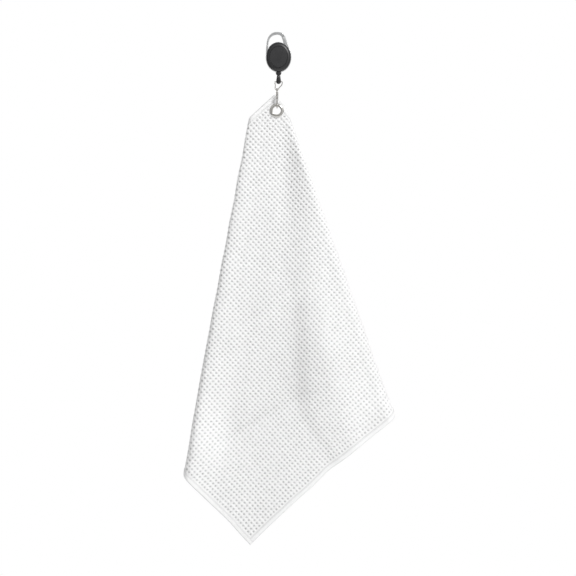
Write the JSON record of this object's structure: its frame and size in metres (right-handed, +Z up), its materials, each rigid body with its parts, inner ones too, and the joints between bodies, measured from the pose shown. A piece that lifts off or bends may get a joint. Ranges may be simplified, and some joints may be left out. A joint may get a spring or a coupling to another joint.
{
  "type": "golf towel",
  "caption": "Square waffle-weave towel hung by a corner grommet from a swivel snap hook on a retractable cord reel with a carabiner frame.",
  "frame": {"origin": "inner apex of the carabiner loop, where its bar rests on what it is clipped to", "axes": "+Z up along the hanging line, -Y out of the reel's front face and the towel's front panel, +X to the viewer's right"},
  "size_m": [0.2695, 0.0404, 0.6526],
  "materials": {
    "cast_frame": "satin plated zinc die casting",
    "steel": "bright drawn steel",
    "spring_steel": "blued spring steel",
    "nickel": "nickel plate, satin",
    "housing": "black moulded ABS, fine satin",
    "badge": "black printed vinyl disc, blank",
    "cord_end": "black moulded PVC, glossy",
    "spool": "natural acetal",
    "cord": "black braided nylon",
    "cloth": "white microfibre waffle weave",
    "hem": "white woven binding tape"
  },
  "bodies": {
    "reel": {"carabiner_frame": "cast_frame", "front_cover": "housing", "back_cover": "housing", "face_badge": "badge", "spool_axle": "steel", "mainspring": "spring_steel", "cord_outlet": "housing", "cord_lead": "cord", "gate_pin": "steel"},
    "gate": {"carabiner_gate": "cast_frame", "gate_spring": "spring_steel"},
    "drum": {"spool": "spool", "cord_winding": "cord"},
    "cord_end": {"cord_end": "cord_end", "cord_knot": "cord"},
    "ring": {"swivel_ring": "nickel"},
    "swivel": {"swivel_eye": "nickel"},
    "hook": {"snap_hook": "nickel", "hook_gate_pin": "steel"},
    "hook_gate": {"hook_gate": "nickel", "hook_spring": "spring_steel"},
    "towel": {"grommet_eyelet": "nickel", "grommet_washer": "nickel", "towel_cloth": "cloth", "hem_top_left": "hem", "hem_top_right": "hem", "hem_bottom_left": "hem", "hem_bottom_right": "hem"}
  },
  "joints": [
    {"name": "gate_open", "type": "hinge", "parent": "reel", "child": "gate", "pos_m": [0.0118, 0, -0.0166], "axis": [0, -1, 0], "range_deg": [0, 20], "stiffness_Nm_per_rad": 0.02, "springref_deg": -28.65},
    {"name": "cord_pull", "type": "slide", "parent": "reel", "child": "cord_end", "axis": [0, 0, -1], "range_m": [0, 0.6], "stiffness_N_per_m": 1, "springref_m": -2, "deforming": ["cord_lead"]},
    {"name": "spool_spin", "type": "hinge", "parent": "reel", "child": "drum", "pos_m": [0.0006, 0, -0.0287], "axis": [0, 1, 0], "range_deg": [0, 3700]},
    {"name": "ring_swing", "type": "hinge", "parent": "cord_end", "child": "ring", "pos_m": [0.0006, 0, -0.0595], "axis": [1, 0, 0], "range_deg": [-70, 70]},
    {"name": "eye_swing", "type": "hinge", "parent": "ring", "child": "swivel", "pos_m": [-0.0013, 0, -0.0704], "axis": [1, 0, 0], "range_deg": [-45, 45]},
    {"name": "hook_swivel", "type": "hinge", "parent": "swivel", "child": "hook", "pos_m": [-0.0013, 0, -0.075], "axis": [0, 0, 1], "continuous": true},
    {"name": "hook_gate_open", "type": "hinge", "parent": "hook", "child": "hook_gate", "pos_m": [-0.0013, -0.006, -0.079], "axis": [1, 0, 0], "range_deg": [0, 20], "stiffness_Nm_per_rad": 0.01, "springref_deg": -28.65},
    {"name": "towel_swing", "type": "hinge", "parent": "hook", "child": "towel", "pos_m": [-0.0013, 0, -0.0935], "axis": [0, 1, 0], "range_deg": [-45, 45], "deforming": ["hem_top_left", "hem_top_right"]}
  ],
  "couplings": [
    {"joint": "spool_spin", "follows": "cord_pull", "rad_per_m": 107.5}
  ]
}
